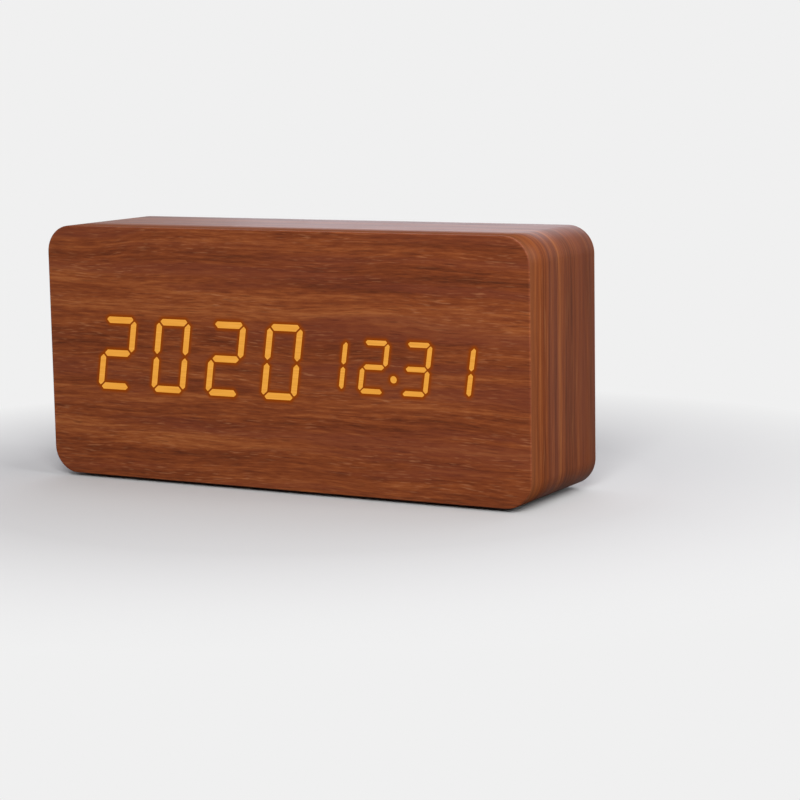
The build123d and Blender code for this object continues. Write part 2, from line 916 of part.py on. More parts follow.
# Case and face
write("case_body", case_body())
write("side_wrap", side_wrap())
write("front_veneer", front_veneer())
write("rear_board", rear_board())
write("rear_veneer", rear_veneer())
for i, letters in enumerate(year_letters):
    write(f"year_digit_{i + 1}", *inlay(year_digit(letters, i)))
for i, letters in enumerate(date_letters):
    write(f"date_digit_{i + 1}", *inlay(date_digit(letters, i)))
write("date_point", *inlay([point]))
foot_x = case_width / 2 - pad_inset_x
foot_y = case_depth / 2 - pad_inset_y
for row, y in (("front", -foot_y), ("rear", foot_y)):
    for side, x in (("left", -foot_x), ("right", foot_x)):
        write(f"foot_{row}_{side}", foot_pad(x, y))
write("rear_board_screws", *[countersunk_screw(x, z, rear_screw_length) for x, z in rear_screw_places])

# Light box and LED board
write("diffuser_sheet", diffuser_sheet())
write("segment_reflector", segment_reflector())
write("light_pipes", *[light_pipe(shape) for shape in cavities])
write("leds", *[led(shape) for shape in cavities])
write("led_board", led_board())
led_screws = [pan_screw(x, z, led_board_back, led_screw_length, -1) for x, z in led_screw_places]
write("led_board_screws", *led_screws)
write("clock_chip", on_led_board(block(chip_size, chip_size, chip_x, 0), chip_height))
driver_heights = (-driver_spread / 2, driver_spread / 2)
drivers = [block(driver_length, driver_width, driver_x, z) for z in driver_heights]
write("display_drivers", *[on_led_board(shape, driver_height) for shape in drivers])
can = Pos(crystal_x, 0) * SlotOverall(crystal_length, crystal_width, 90)
write("crystal", on_led_board(can, crystal_height))
write("capacitor", on_led_board(disc(capacitor_diameter, capacitor_x, 0), capacitor_height))
write("piezo_buzzer", piezo_buzzer())
write("led_board_header", header(led_header_x, led_board_back, led_board_back + header_height))
write("ribbon_cable", ribbon_cable())

# Battery bay, insert and door
write("rear_insert", rear_insert())
write("insert_screws", *[countersunk_screw(x, z, insert_screw_length) for x, z in insert_screw_places])
write("battery_door", battery_door())
for i, (z, side) in enumerate(bay_cells):
    write(f"battery_{i + 1}", battery(z, side))
write("battery_contacts", *battery_contacts())
write("battery_springs", *[battery_spring(z, side) for z, side in bay_cells])
write("battery_leads", *[battery_lead(z) for z in (bay_cells[0][0], bay_cells[-1][0])])

# Control board, its switches and sockets
write("control_board", control_board())
control_screws = [pan_screw(x, z, control_board_front, control_screw_length, 1) for x, z in boss_places]
write("control_board_screws", *control_screws)
header_front = control_board_front - header_height
write("control_board_header", header(control_header_x, header_front, control_board_front))
for kind, x in zip(("set", "up", "down"), button_places):
    write(f"{kind}_button", button(kind, x))
    write(f"{kind}_plunger", plunger(x))
write("push_switches", *[push_switch(x) for x in button_places])
write("sound_switch_body", sound_switch_body())
write("sound_switch_lever", sound_switch_lever())
write("dc_jack_body", dc_jack_body())
write("dc_jack_contact", jack_contact())
write("dc_jack_pin", dc_jack_pin())
capsule = disc(microphone_diameter, panel_centre, socket_row)
write("microphone", on_control_board(capsule, microphone_height))
write("thermistor", thermistor())
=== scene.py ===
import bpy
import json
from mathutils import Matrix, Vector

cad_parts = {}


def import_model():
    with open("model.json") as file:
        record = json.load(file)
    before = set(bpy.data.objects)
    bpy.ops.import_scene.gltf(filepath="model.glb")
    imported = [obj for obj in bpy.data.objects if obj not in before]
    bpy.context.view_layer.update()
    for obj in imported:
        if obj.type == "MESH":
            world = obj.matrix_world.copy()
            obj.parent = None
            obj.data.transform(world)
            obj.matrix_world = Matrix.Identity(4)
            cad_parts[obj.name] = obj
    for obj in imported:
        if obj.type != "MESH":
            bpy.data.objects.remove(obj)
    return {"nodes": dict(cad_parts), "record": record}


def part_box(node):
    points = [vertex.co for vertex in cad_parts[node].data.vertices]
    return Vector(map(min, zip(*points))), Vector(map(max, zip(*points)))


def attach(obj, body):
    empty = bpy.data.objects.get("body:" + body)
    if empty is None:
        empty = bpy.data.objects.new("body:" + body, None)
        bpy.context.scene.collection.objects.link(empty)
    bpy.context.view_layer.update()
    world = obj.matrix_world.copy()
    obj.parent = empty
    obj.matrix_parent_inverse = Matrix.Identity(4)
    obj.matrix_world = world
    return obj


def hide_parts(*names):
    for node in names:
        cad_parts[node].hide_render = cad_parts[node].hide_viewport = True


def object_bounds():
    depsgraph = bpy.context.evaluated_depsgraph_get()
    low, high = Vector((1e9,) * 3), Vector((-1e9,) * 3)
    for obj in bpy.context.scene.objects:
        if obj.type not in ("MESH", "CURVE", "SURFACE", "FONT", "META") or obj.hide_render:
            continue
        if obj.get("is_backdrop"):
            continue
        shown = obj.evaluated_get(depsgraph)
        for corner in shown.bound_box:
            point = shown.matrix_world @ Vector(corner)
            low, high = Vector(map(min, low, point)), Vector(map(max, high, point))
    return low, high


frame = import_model()
cad_box = [list(corner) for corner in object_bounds()]

import json
import math

import bmesh
import bpy
import numpy as np
from mathutils import Matrix, Vector

# A foil-wrapped wooden LED desk clock. Lengths in this file are millimetres, and MM turns them into metres.
MM = 0.001
NODES = frame["nodes"]
slots = {part["node"]: part["material_slot"] for part in frame["record"]["subparts"]}

# Case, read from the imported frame
FACE_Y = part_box("front_veneer")[0][1] / MM
FOIL_FRONT_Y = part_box("front_veneer")[1][1] / MM
BACK_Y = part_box("side_wrap")[1][1] / MM
CORE_BACK_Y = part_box("case_body")[1][1] / MM
CASE_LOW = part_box("side_wrap")[0][2] / MM
CASE_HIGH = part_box("side_wrap")[1][2] / MM
HALF_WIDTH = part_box("side_wrap")[1][0] / MM
HALF_HEIGHT = (CASE_HIGH - CASE_LOW) / 2
MIDDLE = (CASE_HIGH + CASE_LOW) / 2
CORNER_RADIUS = 7.5
FOIL = BACK_Y - CORE_BACK_Y
REBATE = 3.0
EDGE_RADIUS = 0.3

# How finely the side foil is drawn: steps round a corner, length of a step along a side, Y of the points
# between its front and back edges, and points round its back edge
CORNER_STEPS = 14
SIDE_STEP = 6.0
SIDE_STATIONS = (-8.0, 4.0, 14.0)
EDGE_POINTS = 6

# How near two points count as one, or as lying on the face
WELD = 0.002
FACE_WELD = 0.001
ON_FACE = 0.01

# Light bleeding round the digits: the face's front is cut into cells out to a reach, the light falls off over
# a length, colours the foil fully from a share on, and leaves its back dark
GLOW_REACH = 2.0
GLOW_CELL = 0.4
GLOW_FADE = 0.75
GLOW_FULL = 0.8
GLOW_LIGHT = 0.22
BACK_MARGIN = 0.1

# Painted highlight: the foil is a little paler along its outer edge round the face
EDGE_HIGHLIGHT_FADE = 0.4
EDGE_HIGHLIGHT_SHARE = 0.1

# Battery springs: wire and radii, turns, points in a turn and round the wire, and the angle that lies flat
SPRING_LENGTH = 4.6
SPRING_WIRE = 0.35
SPRING_BASE = 3.25
SPRING_TIP = 1.95
SPRING_TURNS = 4.5
SPRING_STEPS = 28
WIRE_SIDES = 10
SPRING_FLAT = 0.75 * 2 * math.pi

# Sunk marks of the buttons
MARK_DEPTH = 0.3
MARK_REACH = 2.6

# Camera, fitted to the photograph's edges: angles round the middle of the block, and its shift sideways
VIEW_AZIMUTH = 29.003
VIEW_ELEVATION = 8.3205
VIEW_ROLL = -1.0145
VIEW_DISTANCE = 643.85
MOVED_RIGHT = 23.176
MOVED_UP = -13.071
FOCAL_PIXELS = 2342.16
FRAME_PIXELS = 800
SENSOR = 36.0
NEAREST = 10.0

# Stage and light: the world is dim but for a broad pale light from behind
BACKGROUND = "F0F0F0"
BACK_LIGHT = (-0.15, 0.85, 0.5)
BACK_SPREAD = (0.2, 0.95)
WORLD_LOW = 0.2
WORLD_HIGH = 1.12
WORLD_TINT = (0.98, 0.96, 1, 1)
FLOOR_RADIUS = 4000.0
FLOOR_POINTS = 96
FLOOR_FADE = (95.0, 190.0)
FLOOR_SEEN = "C0C0C0"
FLOOR_BOUNCE = "5A5856"
FLOOR_GLOSS = 0.3


# Node helpers


def linear(code):
    """An sRGB hex code as a linear colour with alpha 1."""
    channels = [int(code[i : i + 2], 16) / 255 for i in (0, 2, 4)]
    turned = [c / 12.92 if c <= 0.04045 else ((c + 0.055) / 1.055) ** 2.4 for c in channels]
    return (*turned, 1.0)


def add(tree, kind, feeds=None, stops=None, **settings):
    """Adds a node. Feeds are values or sockets for its inputs, by name or number; stops fill its ramp."""
    node = tree.nodes.new(kind)
    for name, value in settings.items():
        setattr(node, name, value)
    for key, value in (feeds or {}).items():
        if isinstance(value, bpy.types.NodeSocket):
            tree.links.new(value, node.inputs[key])
        else:
            node.inputs[key].default_value = value
    if stops:
        ramp = node.color_ramp
        while len(ramp.elements) < len(stops):
            ramp.elements.new(1.0)
        for element, (position, colour) in zip(ramp.elements, stops):
            element.position = position
            element.color = linear(colour) if isinstance(colour, str) else (colour, colour, colour, 1)
    return node


def new_material(name):
    """An empty node material and its tree."""
    material = bpy.data.materials.new(name)
    material.use_nodes = True
    material.node_tree.nodes.clear()
    return material, material.node_tree


def finish_material(tree, shader):
    """Joins the last shader to the material's output."""
    add(tree, "ShaderNodeOutputMaterial", {"Surface": shader.outputs[0]})


def object_mm(tree):
    """Object coordinates in millimetres."""
    place = add(tree, "ShaderNodeTexCoord").outputs["Object"]
    return add(tree, "ShaderNodeVectorMath", {0: place, "Scale": 1 / MM}, operation="SCALE").outputs[0]


def front_mm(tree):
    """Object coordinates in millimetres as the face is read: X along it, Z up it."""
    parts = add(tree, "ShaderNodeSeparateXYZ", {0: object_mm(tree)}).outputs
    return add(tree, "ShaderNodeCombineXYZ", {0: parts["X"], 1: parts["Z"]}).outputs[0]


def noise(tree, vector, size, seed=0.0, **feeds):
    """A noise whose cells measure size = (x, y, z) millimetres, moved by a seed."""
    scale = tuple(1 / length for length in size)
    place = add(tree, "ShaderNodeMapping", {"Vector": vector, "Scale": scale, "Location": (seed, seed, seed)})
    settings = {"Vector": place.outputs[0], "Scale": 1.0, "Detail": 2.0, "Roughness": 0.5, **feeds}
    return add(tree, "ShaderNodeTexNoise", settings).outputs["Fac"]


def remap(tree, value, low, high, to_low=0.0, to_high=1.0):
    """A value turned from one range to another and held there."""
    feeds = {"Value": value, "From Min": low, "From Max": high, "To Min": to_low, "To Max": to_high}
    return add(tree, "ShaderNodeMapRange", feeds).outputs[0]


def maths(tree, operation, a, b):
    """One step of arithmetic on two values."""
    return add(tree, "ShaderNodeMath", {0: a, 1: b}, operation=operation).outputs[0]


def blend_colours(tree, factor, a, b, way="MIX"):
    """Two colours mixed by a factor."""
    feeds = {0: factor, 6: a, 7: b}
    return add(tree, "ShaderNodeMix", feeds, data_type="RGBA", blend_type=way).outputs[2]


def bump(tree, height, distance, strength=1.0):
    """A bump whose full height is a distance in millimetres."""
    feeds = {"Height": height, "Distance": distance * MM, "Strength": strength}
    return add(tree, "ShaderNodeBump", feeds).outputs[0]


# Wood

# The grain wavers: length and width of its waves, and how far they push it sideways
WAVER_LENGTH = 45.0
WAVER_WIDTH = 18.0
WAVER_REACH = 3.6


def walnut_grain(tree, place, length, seed, lie=None, firm=0.2):
    """Colour and height of printed walnut: x of the place runs along the grain, y across it.

    Broad soft bands, streaks and fibres add up to a tone. A lie, if given, places listed broad bands, and
    the firmer it is, the more it counts. Purplish bands, gathered pale flecks and dark pores lie over it.
    Flecks and pores are drawn about twice as wide as real ones, so that they show."""
    feeds = {"Vector": place, "Scale": (1 / WAVER_LENGTH, 1 / WAVER_WIDTH, 1), "Location": (seed, 0, 0)}
    sway = add(tree, "ShaderNodeMapping", feeds).outputs[0]
    sway = add(tree, "ShaderNodeTexNoise", {"Vector": sway, "Scale": 1.0, "Detail": 1.0}).outputs["Color"]
    feeds = {0: sway, 1: (0, WAVER_REACH, 0), 2: place}
    wavy = add(tree, "ShaderNodeVectorMath", feeds, operation="MULTIPLY_ADD").outputs[0]
    bands = noise(tree, wavy, (length * 3, 7.0, 1), seed + 3)
    streaks = noise(tree, wavy, (length, 1.5, 1), seed + 7, Detail=3.0, Roughness=0.6)
    fibres = noise(tree, wavy, (length / 7, 0.55, 1), seed + 11, Detail=3.0, Roughness=0.65)
    tone = 0.5
    for part, weight in ((bands, 0.42), (streaks, 0.5), (fibres, 0.5), (lie, firm)):
        if part is not None:
            swing = maths(tree, "SUBTRACT", part, 0.5)
            feeds = {0: swing, 1: weight, 2: tone}
            tone = add(tree, "ShaderNodeMath", feeds, operation="MULTIPLY_ADD").outputs[0]
    stops = [(0.3, "552815"), (0.42, "6B331A"), (0.5, "783B1E"), (0.58, "854523"), (0.7, "98572F")]
    colour = add(tree, "ShaderNodeValToRGB", {"Fac": tone}, stops=stops).outputs[0]
    hue = noise(tree, wavy, (length * 2, 5.0, 1), seed + 13)
    purple = maths(tree, "MULTIPLY", remap(tree, hue, 0.52, 0.38), 0.5)
    colour = blend_colours(tree, purple, colour, linear("6C3424"))
    flecks = noise(tree, wavy, (length / 10, 0.4, 1), seed + 17, Detail=1.0)
    gathered = noise(tree, wavy, (length, 4.0, 1), seed + 29)
    gathered = remap(tree, gathered, 0.42, 0.62, 0.08, 0.48)
    pale = maths(tree, "MULTIPLY", remap(tree, flecks, 0.58, 0.72), gathered)
    colour = blend_colours(tree, pale, colour, linear("A66C48"))
    pores = noise(tree, wavy, (length / 7, 0.36, 1), seed + 23, Detail=1.0)
    dark = maths(tree, "MULTIPLY", remap(tree, pores, 0.6, 0.74), 0.45)
    colour = blend_colours(tree, dark, colour, linear("492114"))
    return colour, maths(tree, "SUBTRACT", fibres, dark)


def satin_wood(tree, colour, height, **feeds):
    """The clear satin coat over a printed foil: a soft sheen, a little duller in the pores."""
    settings = {
        "Base Color": colour,
        "Roughness": remap(tree, height, 0.1, 0.6, 0.5, 0.4),
        "IOR": 1.48,
        "Specular IOR Level": 0.1,
        "Normal": bump(tree, height, 0.03, 0.5),
        **feeds,
    }
    return add(tree, "ShaderNodeBsdfPrincipled", settings)


# Where the face's broad dark and light bands lie, from its lower edge (0) to its top (1), and how
# far they fall for each millimetre to the right
BAND_SLOPE = 0.03
FACE_BANDS = [
    (0.0, 0.3),
    (0.09, 0.3),
    (0.17, 0.9),
    (0.27, 0.5),
    (0.4, 0.45),
    (0.5, 0.4),
    (0.66, 0.6),
    (0.77, 0.85),
    (0.86, 0.3),
    (0.92, 0.7),
    (1.0, 0.2),
]


def walnut_face():
    """Walnut print on thin translucent foil, satin coated: grain along X, amber light round the digits."""
    material, tree = new_material("walnut_foil_face")
    place = front_mm(tree)
    x, z = add(tree, "ShaderNodeSeparateXYZ", {0: place}).outputs[:2]
    slope = maths(tree, "MULTIPLY", x, BAND_SLOPE)
    level = remap(tree, maths(tree, "ADD", z, slope), CASE_LOW, CASE_HIGH)
    lie = add(tree, "ShaderNodeValToRGB", {"Fac": level}, stops=FACE_BANDS).outputs[0]
    colour, height = walnut_grain(tree, place, 40.0, 4.2, lie)
    # Painted highlight: the foil is a little paler along its outer edge
    edge = add(tree, "ShaderNodeAttribute", attribute_name="edge").outputs["Fac"]
    colour = blend_colours(tree, maths(tree, "MULTIPLY", edge, EDGE_HIGHLIGHT_SHARE), colour, linear("9A6040"))
    glow = add(tree, "ShaderNodeAttribute", attribute_name="glow").outputs["Fac"]
    colour = blend_colours(tree, remap(tree, glow, 0.0, GLOW_FULL), colour, linear("7A3200"))
    light = maths(tree, "MULTIPLY", glow, GLOW_LIGHT)
    feeds = {"Emission Strength": light, "Emission Color": linear("924600")}
    finish_material(tree, satin_wood(tree, colour, height, **feeds))
    return material


# Where the wrap's light and dark stripes lie, from the face (0) to the back (1)
WRAP_BANDS = [
    (0.0, 0.5),
    (0.05, 0.3),
    (0.13, 0.6),
    (0.18, 0.4),
    (0.28, 0.4),
    (0.33, 0.95),
    (0.35, 0.45),
    (0.39, 0.05),
    (0.42, 0.65),
    (0.5, 0.6),
    (0.57, 0.25),
    (0.64, 0.5),
    (0.74, 0.6),
    (0.86, 0.35),
    (1.0, 0.3),
]


def walnut_wrap():
    """The same foil wrapped round the sides: long straight stripes along the wrap, darker towards the back
    with painted shade, and paler by the face with a painted highlight.
    """
    material, tree = new_material("walnut_foil_wrap")
    place = add(tree, "ShaderNodeUVMap", uv_map="wrap").outputs[0]
    place = add(tree, "ShaderNodeVectorMath", {0: place, "Scale": 1 / MM}, operation="SCALE").outputs[0]
    depth = remap(tree, add(tree, "ShaderNodeSeparateXYZ", {0: place}).outputs[1], 0, BACK_Y - FOIL_FRONT_Y)
    lie = add(tree, "ShaderNodeValToRGB", {"Fac": depth}, stops=WRAP_BANDS).outputs[0]
    colour, height = walnut_grain(tree, place, 160.0, 31.0, lie, 0.22)
    # Painted shade: a tint that darkens and warms the foil towards the back
    stops = [(0.0, "E6EAE2"), (0.35, "EEEEDC"), (0.5, "EEEAC6"), (1.0, "DED6AC")]
    tint = add(tree, "ShaderNodeValToRGB", {"Fac": depth}, stops=stops).outputs[0]
    colour = blend_colours(tree, 1.0, colour, tint, "MULTIPLY")
    # Painted highlight: the foil is paler by the face, over the first sixth of its depth
    front = maths(tree, "MULTIPLY", remap(tree, depth, 0.16, 0.0), 0.4)
    colour = blend_colours(tree, front, colour, linear("7E4C2E"))
    finish_material(tree, satin_wood(tree, colour, height))
    return material


def walnut_back():
    """A second sheet of the foil on the rear board, with its grain along X."""
    material, tree = new_material("walnut_foil_back")
    colour, height = walnut_grain(tree, front_mm(tree), 40.0, 60.5)
    finish_material(tree, satin_wood(tree, colour, height))
    return material


def fibreboard():
    """Raw medium density fibreboard: sanded, dry, tan with darker fibre specks."""
    material, tree = new_material("fibreboard_raw")
    place = object_mm(tree)
    specks = noise(tree, place, (0.6, 0.6, 0.6), Detail=4.0, Roughness=0.7)
    stops = [(0.35, "8A6A45"), (0.5, "A8865C"), (0.65, "BC9B70")]
    colour = add(tree, "ShaderNodeValToRGB", {"Fac": specks}, stops=stops).outputs[0]
    feeds = {"Base Color": colour, "Roughness": 0.9, "Normal": bump(tree, specks, 0.05)}
    finish_material(tree, add(tree, "ShaderNodeBsdfPrincipled", feeds))
    return material


# Light


def lit_segment():
    """Amber LED light through the foil, a touch uneven where the fibres cross it."""
    material, tree = new_material("amber_light_through_foil")
    fibres = noise(tree, front_mm(tree), (9.0, 0.4, 1), 5.0)
    stops = [(0.3, "D89027"), (0.5, "DF9829"), (0.7, "E7A039")]
    colour = add(tree, "ShaderNodeValToRGB", {"Fac": fibres}, stops=stops).outputs[0]
    feeds = {"Base Color": linear("3A1C08"), "Emission Color": colour, "Emission Strength": 1.0}
    finish_material(tree, add(tree, "ShaderNodeBsdfPrincipled", feeds))
    return material


# Plastics, metals and the rest


def sunk_mark(tree, place, name):
    """Where white ink fills the mark sunk in a button: near its axis, and below its top."""
    low, high = (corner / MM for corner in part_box(name))
    middle = ((low.x + high.x) / 2, 0, (low.z + high.z) / 2)
    spot = add(tree, "ShaderNodeVectorMath", {0: place, 1: middle}, operation="SUBTRACT").outputs[0]
    spot = add(tree, "ShaderNodeVectorMath", {0: spot, 1: (1, 0, 1)}, operation="MULTIPLY").outputs[0]
    away = add(tree, "ShaderNodeVectorMath", {0: spot}, operation="LENGTH").outputs["Value"]
    y = add(tree, "ShaderNodeSeparateXYZ", {0: place}).outputs[1]
    below = maths(tree, "LESS_THAN", y, high.y - MARK_DEPTH / 2)
    return maths(tree, "MULTIPLY", maths(tree, "LESS_THAN", away, MARK_REACH), below)


def moulded(name, code, roughness, grain=0.35, depth=0.02, marked=None):
    """Injection moulded plastic: one colour, faint flow clouds, a spark-eroded grain in millimetres.

    The grain is drawn coarser than a real one, so that it shows. On a marked button, white ink fills the
    sunk mark."""
    material, tree = new_material(name)
    place = object_mm(tree)
    clouds = noise(tree, place, (6.0, 6.0, 6.0))
    grains = noise(tree, place, (grain, grain, grain), Detail=3.0, Roughness=0.6)
    base = linear(code)
    lighter = (*(min(1.0, c * 1.15 + 0.002) for c in base[:3]), 1.0)
    colour = blend_colours(tree, remap(tree, clouds, 0.35, 0.65), base, lighter)
    if marked:
        colour = blend_colours(tree, sunk_mark(tree, place, marked), colour, linear("D6D6D2"))
    feeds = {
        "Base Color": colour,
        "Roughness": remap(tree, grains, 0.3, 0.7, roughness - 0.06, roughness + 0.06),
        "Normal": bump(tree, grains, depth),
        "IOR": 1.53,
    }
    finish_material(tree, add(tree, "ShaderNodeBsdfPrincipled", feeds))
    return material


def metal(name, code, roughness):
    """Plated or drawn metal: fine brushed marks vary its roughness."""
    material, tree = new_material(name)
    marks = noise(tree, object_mm(tree), (0.2, 0.2, 3.0), Detail=3.0)
    feeds = {
        "Base Color": linear(code),
        "Metallic": 1.0,
        "Roughness": remap(tree, marks, 0.3, 0.7, roughness - 0.08, roughness + 0.1),
        "Normal": bump(tree, marks, 0.008),
    }
    finish_material(tree, add(tree, "ShaderNodeBsdfPrincipled", feeds))
    return material


def solder_mask():
    """Glass-epoxy board under green solder mask: darker where there is no copper."""
    material, tree = new_material("circuit_board_mask")
    feeds = {"Vector": object_mm(tree), "Scale": 0.35, "Mortar Size": 0.03}
    tracks = add(tree, "ShaderNodeTexBrick", feeds).outputs["Fac"]
    colour = blend_colours(tree, tracks, linear("0F5A34"), linear("1C7A48"))
    feeds = {"Base Color": colour, "Roughness": 0.3, "Normal": bump(tree, tracks, 0.03)}
    finish_material(tree, add(tree, "ShaderNodeBsdfPrincipled", feeds))
    return material


# Shares of a cell's length at which its steel end, pale band, green film and other steel end begin
CELL_PARTS = (0.0, 0.034, 0.2, 0.978)
CELL_COLOURS = ("C6C2BA", "D2D0C6", "2F6B4C", "C6C2BA")
CELL_METAL = (1.0, 0.0, 0.0, 1.0)


def cell_film(name):
    """A battery cell: a green shrunk plastic film with a pale band by its raised end, steel at both ends."""
    material, tree = new_material(f"film_of_{name}")
    low, high = (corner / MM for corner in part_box(name))
    place = object_mm(tree)
    x = add(tree, "ShaderNodeSeparateXYZ", {0: place}).outputs[0]
    ends = (low.x, high.x) if int(name[-1]) % 2 else (high.x, low.x)
    reach = remap(tree, x, *ends)
    scuffs = noise(tree, place, (3.0, 0.6, 0.6), Detail=3.0)
    ramps = []
    for stops in zip(CELL_PARTS, CELL_COLOURS), zip(CELL_PARTS, CELL_METAL):
        ramps.append(add(tree, "ShaderNodeValToRGB", {"Fac": reach}, stops=list(stops)))
        ramps[-1].color_ramp.interpolation = "CONSTANT"
    feeds = {
        "Base Color": ramps[0].outputs[0],
        "Metallic": ramps[1].outputs[0],
        "Roughness": remap(tree, scuffs, 0.3, 0.7, 0.22, 0.36),
        "Normal": bump(tree, scuffs, 0.01),
    }
    finish_material(tree, add(tree, "ShaderNodeBsdfPrincipled", feeds))
    return material


def clear_resin():
    """Cast clear epoxy with a slight warm tint."""
    material, tree = new_material("resin_clear_cast")
    swirls = noise(tree, object_mm(tree), (1.5, 1.5, 1.5))
    feeds = {
        "Base Color": linear("F3E3BE"),
        "Roughness": remap(tree, swirls, 0.3, 0.7, 0.1, 0.2),
        "Transmission Weight": 0.8,
        "IOR": 1.52,
    }
    finish_material(tree, add(tree, "ShaderNodeBsdfPrincipled", feeds))
    return material


# Surfaces worked out with numpy


def mesh_object(name, points, faces, body, material, uv=None):
    """A mesh from points in millimetres and quads, riding on a body."""
    mesh = bpy.data.meshes.new(name)
    mesh.from_pydata(points * MM, [], faces)
    if uv is not None:
        layer = mesh.uv_layers.new(name="wrap")
        layer.uv.foreach_set("vector", (uv * MM).astype(np.float32).ravel())
    mesh.polygons.foreach_set("use_smooth", [True] * len(mesh.polygons))
    mesh.materials.append(material)
    mesh.update()
    piece = bpy.data.objects.new(name, mesh)
    bpy.context.scene.collection.objects.link(piece)
    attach(piece, body)
    return piece


def ring_faces(rows, columns):
    """Quads of a grid of points whose last column joins its first."""
    row, column = np.meshgrid(np.arange(rows - 1) * columns, np.arange(columns), indexing="ij")
    beside = (column + 1) % columns
    corners = [row + column, row + beside, row + columns + beside, row + columns + column]
    return np.stack(corners, -1).reshape(-1, 4)


def seal(piece):
    """Merges doubled points and turns the faces outwards."""
    work = bmesh.new()
    work.from_mesh(piece.data)
    bmesh.ops.remove_doubles(work, verts=work.verts, dist=WELD * MM)
    bmesh.ops.recalc_face_normals(work, faces=work.faces)
    work.to_mesh(piece.data)
    work.free()


def case_path():
    """The case's outline from the middle of its lower edge, counter-clockwise as the face is read.

    Corner centres are a radius in from both sides. Each station has its corner's centre or foot, its outward
    direction, and the length of outline behind it."""
    half_x, half_z, r = HALF_WIDTH - CORNER_RADIUS, HALF_HEIGHT - CORNER_RADIUS, CORNER_RADIUS
    feet, turns, lengths = [], [], []
    so_far = 0.0
    sides = [
        ((0, -half_z), (half_x, -half_z), -90),
        ((half_x, -half_z), (half_x, half_z), 0),
        ((half_x, half_z), (-half_x, half_z), 90),
        ((-half_x, half_z), (-half_x, -half_z), 180),
        ((-half_x, -half_z), (0, -half_z), 270),
    ]
    for number, (start, end, angle) in enumerate(sides):
        start, end = np.array(start, float), np.array(end, float)
        run = np.linalg.norm(end - start)
        share = np.linspace(0, 1, max(2, int(run / SIDE_STEP)))[:, None]
        feet.append(start + share * (end - start))
        turns.append(np.full(len(share), math.radians(angle)))
        lengths.append(so_far + share[:, 0] * run)
        so_far += run
        if number < len(sides) - 1:
            bend = np.linspace(0, math.pi / 2, CORNER_STEPS + 1)[1:-1]
            feet.append(np.repeat(end[None], len(bend), 0))
            turns.append(math.radians(angle) + bend)
            lengths.append(so_far + bend * r)
            so_far += r * math.pi / 2
    feet, turns, lengths = np.concatenate(feet), np.concatenate(turns), np.concatenate(lengths)
    return feet, np.stack([np.cos(turns), np.sin(turns)], -1), lengths


def side_foil(material):
    """The foil round the sides: a section of (inset, Y) points carried round the case's outline."""
    arc = np.linspace(0, math.pi / 2, EDGE_POINTS)
    rounding = np.stack([1 - np.cos(arc), np.sin(arc) - 1], -1) * EDGE_RADIUS + [0, BACK_Y]
    outer = [(0.0, y) for y in (FOIL_FRONT_Y, *SIDE_STATIONS)]
    inner = [(REBATE, BACK_Y), (REBATE, CORE_BACK_Y), (FOIL, CORE_BACK_Y), (FOIL, FOIL_FRONT_Y)]
    section = np.concatenate([outer, rounding, inner])
    feet, out, lengths = case_path()
    reach = CORNER_RADIUS - section[:, 0]
    plan = feet[:, None] + out[:, None] * reach[None, :, None]
    across = np.broadcast_to(section[None, :, 1], plan.shape[:2])
    points = np.stack([plan[..., 0], across, plan[..., 1] + MIDDLE], -1)
    rows, columns = points.shape[:2]
    steps = np.linalg.norm(np.diff(section, axis=0), axis=1)
    width = np.concatenate([[0.0], np.cumsum(steps)])
    u = np.broadcast_to(lengths[:, None], (rows, columns))
    v = np.broadcast_to(width[None], (rows, columns))
    uv = np.stack([u, v], -1).reshape(-1, 2)
    faces = ring_faces(rows, columns)
    piece = mesh_object(
        "side_foil", points.reshape(-1, 3), faces, "case", material, uv[faces.ravel()]
    )
    seal(piece)
    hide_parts("side_wrap")


def tube_round(centre, across, along, radius):
    """A tube: at each centre, a circle of the radius in the plane of the two directions.

    The circle shrinks to a point at both ends, which closes them."""
    turn = np.linspace(0, 2 * math.pi, WIRE_SIDES, endpoint=False)
    ring = np.cos(turn)[None, :, None] * across[:, None] + np.sin(turn)[None, :, None] * along[:, None]
    reach = np.full(len(centre), radius)
    reach[[0, -1]] = 0
    return centre[:, None] + ring * reach[:, None, None]


def cell_springs(material):
    """The four conical springs, wound from wire.

    Each is a helix round the cell's axis: the radius falls evenly from the contact to the cell, and the
    first and last three quarters of a turn lie flat."""
    turn = np.linspace(0, SPRING_TURNS * 2 * math.pi, int(SPRING_TURNS * SPRING_STEPS))
    turn = turn[np.r_[0, 0 : len(turn), -1]]
    climb = np.clip((turn - SPRING_FLAT) / (turn[-1] - 2 * SPRING_FLAT), 0, 1)
    climb = climb * climb * (3 - 2 * climb)
    reach = SPRING_BASE + (SPRING_TIP - SPRING_BASE) * turn / turn[-1]
    away = SPRING_LENGTH - SPRING_WIRE - (SPRING_LENGTH - 2 * SPRING_WIRE) * climb
    out = np.stack([np.zeros_like(turn), np.cos(turn), np.sin(turn)], -1)
    along = np.tile([1.0, 0.0, 0.0], (len(turn), 1))
    points, faces = [], []
    for number in range(1, 5):
        low, high = (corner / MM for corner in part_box(f"battery_{number}"))
        side, end = (1, high.x) if number % 2 else (-1, low.x)
        centre = out * reach[:, None] + [0, (low.y + high.y) / 2, (low.z + high.z) / 2]
        centre[:, 0] = end + side * away
        coil = tube_round(centre, out, along, SPRING_WIRE)
        faces.append(ring_faces(*coil.shape[:2]) + sum(len(earlier) for earlier in points))
        points.append(coil.reshape(-1, 3))
    piece = mesh_object(
        "cell_springs", np.concatenate(points), np.concatenate(faces), "case", material
    )
    seal(piece)
    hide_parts("battery_springs")


